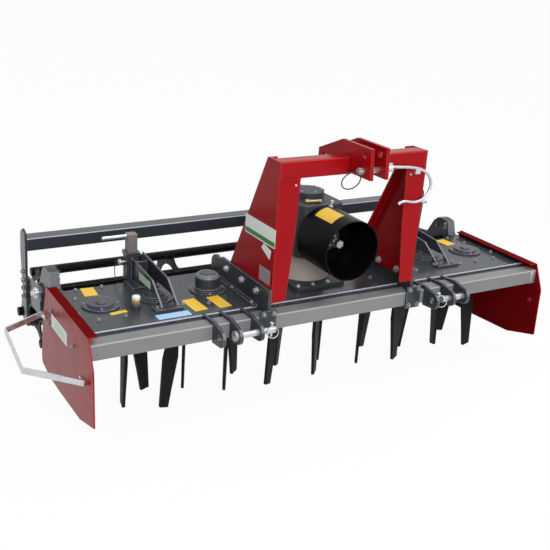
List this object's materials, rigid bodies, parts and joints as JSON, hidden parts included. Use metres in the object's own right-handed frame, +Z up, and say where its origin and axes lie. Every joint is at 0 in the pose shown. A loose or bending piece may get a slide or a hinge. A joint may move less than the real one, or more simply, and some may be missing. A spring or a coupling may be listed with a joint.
{
  "type": "power harrow",
  "caption": "Tractor power harrow: gear trough with upright bladed rotors, three-point headstock, shielded input shaft, levelling board, side plates and a hinged cage roller.",
  "frame": {"origin": "floor point under the axis of the middle rotor, at the level of the blade tips and the roller's underside", "axes": "+X along the working width, to the right seen from the hitch end; +Y from the hitch towards the roller; +Z up"},
  "size_m": [2.571, 1.4079, 1.219],
  "materials": {
    "grey_paint": "semi-gloss",
    "beam_grey": "semi-gloss",
    "red_paint": "gloss",
    "gearbox_grey": "satin",
    "black_plastic": "satin",
    "zinc": "zinc plated",
    "shaft_steel": "machined",
    "black_paint": "satin",
    "tine_steel": "satin black forging"
  },
  "bodies": {
    "frame": {"adjuster_towers": "grey_paint", "beam_clamps": "grey_paint", "bearing_caps": "grey_paint", "columns": "red_paint", "cross_tube": "red_paint", "drive_shield": "black_plastic", "front_beam": "beam_grey", "gear_trough": "grey_paint", "gearbox": "gearbox_grey", "guard_hoop": "zinc", "hanger_rod": "zinc", "lower_hitch_plates": "grey_paint", "lower_pin_left": "zinc", "lower_pin_right": "zinc", "mast_plates": "grey_paint", "roller_brackets": "grey_paint", "roller_pivots": "zinc", "side_plates": "red_paint", "top_clevis": "red_paint", "top_link_pin": "zinc", "trough_lid": "grey_paint"},
    "rotor_1": {"rotor_holder_1": "black_paint", "tine_pair_1": "tine_steel"},
    "rotor_2": {"rotor_holder_2": "black_paint", "tine_pair_2": "tine_steel"},
    "rotor_3": {"rotor_holder_3": "black_paint", "tine_pair_3": "tine_steel"},
    "rotor_4": {"rotor_holder_4": "black_paint", "tine_pair_4": "tine_steel"},
    "rotor_5": {"rotor_holder_5": "black_paint", "tine_pair_5": "tine_steel"},
    "rotor_6": {"rotor_holder_6": "black_paint", "tine_pair_6": "tine_steel"},
    "rotor_7": {"rotor_holder_7": "black_paint", "tine_pair_7": "tine_steel"},
    "rotor_8": {"rotor_holder_8": "black_paint", "tine_pair_8": "tine_steel"},
    "rotor_9": {"rotor_holder_9": "black_paint", "tine_pair_9": "tine_steel"},
    "input_shaft": {"input_shaft": "shaft_steel"},
    "levelling_board": {"levelling_board": "black_paint", "board_tubes": "grey_paint", "cranks": "zinc"},
    "roller_frame": {"roller_arms": "grey_paint", "roller_bearings": "black_paint", "roller_posts": "grey_paint", "roller_tube": "grey_paint"},
    "roller": {"roller_shaft": "black_paint", "roller_discs": "black_paint", "roller_bars": "black_paint"}
  },
  "joints": [
    {"name": "rotor_1_spin", "type": "hinge", "parent": "frame", "child": "rotor_1", "pos_m": [-1, 0, 0.34], "axis": [0, 0, 1], "continuous": true},
    {"name": "rotor_2_spin", "type": "hinge", "parent": "frame", "child": "rotor_2", "pos_m": [-0.75, 0, 0.34], "axis": [0, 0, 1], "continuous": true},
    {"name": "rotor_3_spin", "type": "hinge", "parent": "frame", "child": "rotor_3", "pos_m": [-0.5, 0, 0.34], "axis": [0, 0, 1], "continuous": true},
    {"name": "rotor_4_spin", "type": "hinge", "parent": "frame", "child": "rotor_4", "pos_m": [-0.25, 0, 0.34], "axis": [0, 0, 1], "continuous": true},
    {"name": "rotor_5_spin", "type": "hinge", "parent": "frame", "child": "rotor_5", "pos_m": [0, 0, 0.34], "axis": [0, 0, 1], "continuous": true},
    {"name": "rotor_6_spin", "type": "hinge", "parent": "frame", "child": "rotor_6", "pos_m": [0.25, 0, 0.34], "axis": [0, 0, 1], "continuous": true},
    {"name": "rotor_7_spin", "type": "hinge", "parent": "frame", "child": "rotor_7", "pos_m": [0.5, 0, 0.34], "axis": [0, 0, 1], "continuous": true},
    {"name": "rotor_8_spin", "type": "hinge", "parent": "frame", "child": "rotor_8", "pos_m": [0.75, 0, 0.34], "axis": [0, 0, 1], "continuous": true},
    {"name": "rotor_9_spin", "type": "hinge", "parent": "frame", "child": "rotor_9", "pos_m": [1, 0, 0.34], "axis": [0, 0, 1], "continuous": true},
    {"name": "input_shaft_spin", "type": "hinge", "parent": "frame", "child": "input_shaft", "pos_m": [0, -0.15, 0.745], "axis": [0, 1, 0], "continuous": true},
    {"name": "levelling_board_slide", "type": "slide", "parent": "frame", "child": "levelling_board", "axis": [0, 0, 1], "range_m": [-0.06, 0.06]},
    {"name": "roller_frame_hinge", "type": "hinge", "parent": "frame", "child": "roller_frame", "pos_m": [0, 0.4, 0.425], "axis": [1, 0, 0], "range_deg": [-6, 18]},
    {"name": "roller_spin", "type": "hinge", "parent": "roller_frame", "child": "roller", "pos_m": [0, 0.682, 0.22], "axis": [1, 0, 0], "continuous": true}
  ],
  "couplings": [
    {"joint": "rotor_1_spin", "follows": "rotor_5_spin", "ratio": 1},
    {"joint": "rotor_2_spin", "follows": "rotor_5_spin", "ratio": -1},
    {"joint": "rotor_3_spin", "follows": "rotor_5_spin", "ratio": 1},
    {"joint": "rotor_4_spin", "follows": "rotor_5_spin", "ratio": -1},
    {"joint": "rotor_6_spin", "follows": "rotor_5_spin", "ratio": -1},
    {"joint": "rotor_7_spin", "follows": "rotor_5_spin", "ratio": 1},
    {"joint": "rotor_8_spin", "follows": "rotor_5_spin", "ratio": -1},
    {"joint": "rotor_9_spin", "follows": "rotor_5_spin", "ratio": 1},
    {"joint": "input_shaft_spin", "follows": "rotor_5_spin", "ratio": 1.8}
  ]
}
